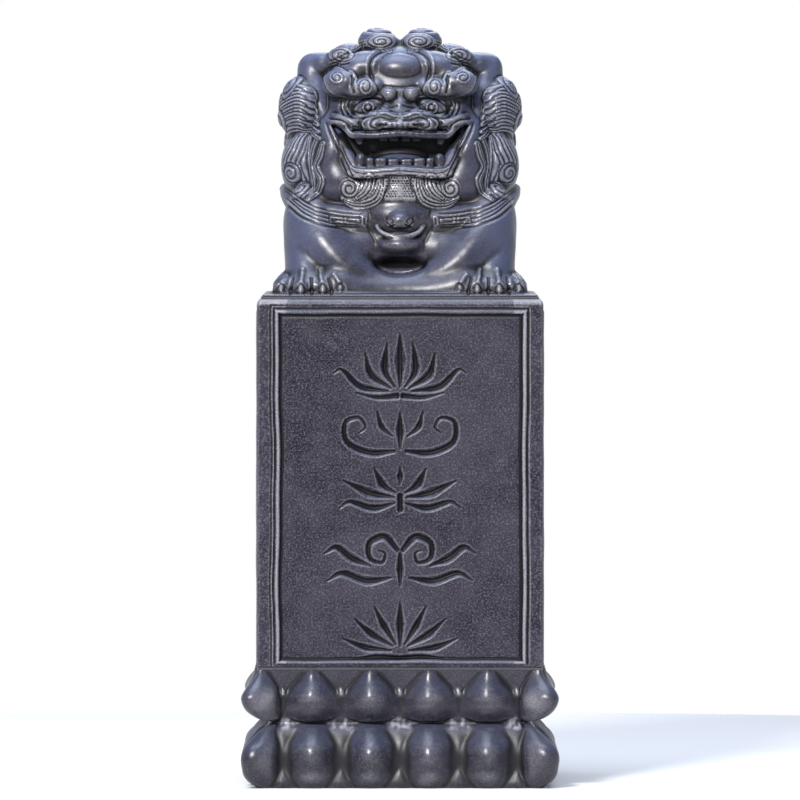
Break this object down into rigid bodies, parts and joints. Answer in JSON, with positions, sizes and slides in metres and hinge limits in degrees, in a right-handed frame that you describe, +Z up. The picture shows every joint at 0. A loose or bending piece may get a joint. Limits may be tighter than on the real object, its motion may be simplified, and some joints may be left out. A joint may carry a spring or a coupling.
{
  "type": "guardian lion pillar statue",
  "caption": "Carved stone guardian lion crouching on a square pillar with sunk panels, raised on a lotus base of bead petals; stands on the ground as a gate, garden or courtyard ornament.",
  "frame": {"origin": "middle of the underside of the lotus base, on the ground", "axes": "+Z up, the lion faces -Y, +X to the viewer's right when looking at its face"},
  "size_m": [0.4158, 0.4158, 1.0008],
  "materials": {
    "stone": "dark slate-blue stone, hand carved, satin, with paler worn edges",
    "steel": "stainless bar",
    "shim_plastic": "black packing plastic",
    "mortar": "dark bedding mortar tinted with stone dust",
    "resin": "cured amber-grey anchor resin"
  },
  "bodies": {
    "root": {"lotus_base": "stone", "lower_mortar_bed": "mortar", "lower_shim_front_left": "shim_plastic", "lower_shim_front_right": "shim_plastic", "lower_shim_back_left": "shim_plastic", "lower_shim_back_right": "shim_plastic", "lower_dowel_left": "steel", "lower_dowel_right": "steel", "lower_resin_left": "resin", "lower_resin_right": "resin", "pillar_shaft": "stone", "upper_mortar_bed": "mortar", "upper_shim_front_left": "shim_plastic", "upper_shim_front_right": "shim_plastic", "upper_shim_back_left": "shim_plastic", "upper_shim_back_right": "shim_plastic", "upper_dowel_left": "steel", "upper_dowel_right": "steel", "upper_resin_left": "resin", "upper_resin_right": "resin", "lion_figure": "stone"}
  },
  "joints": []
}
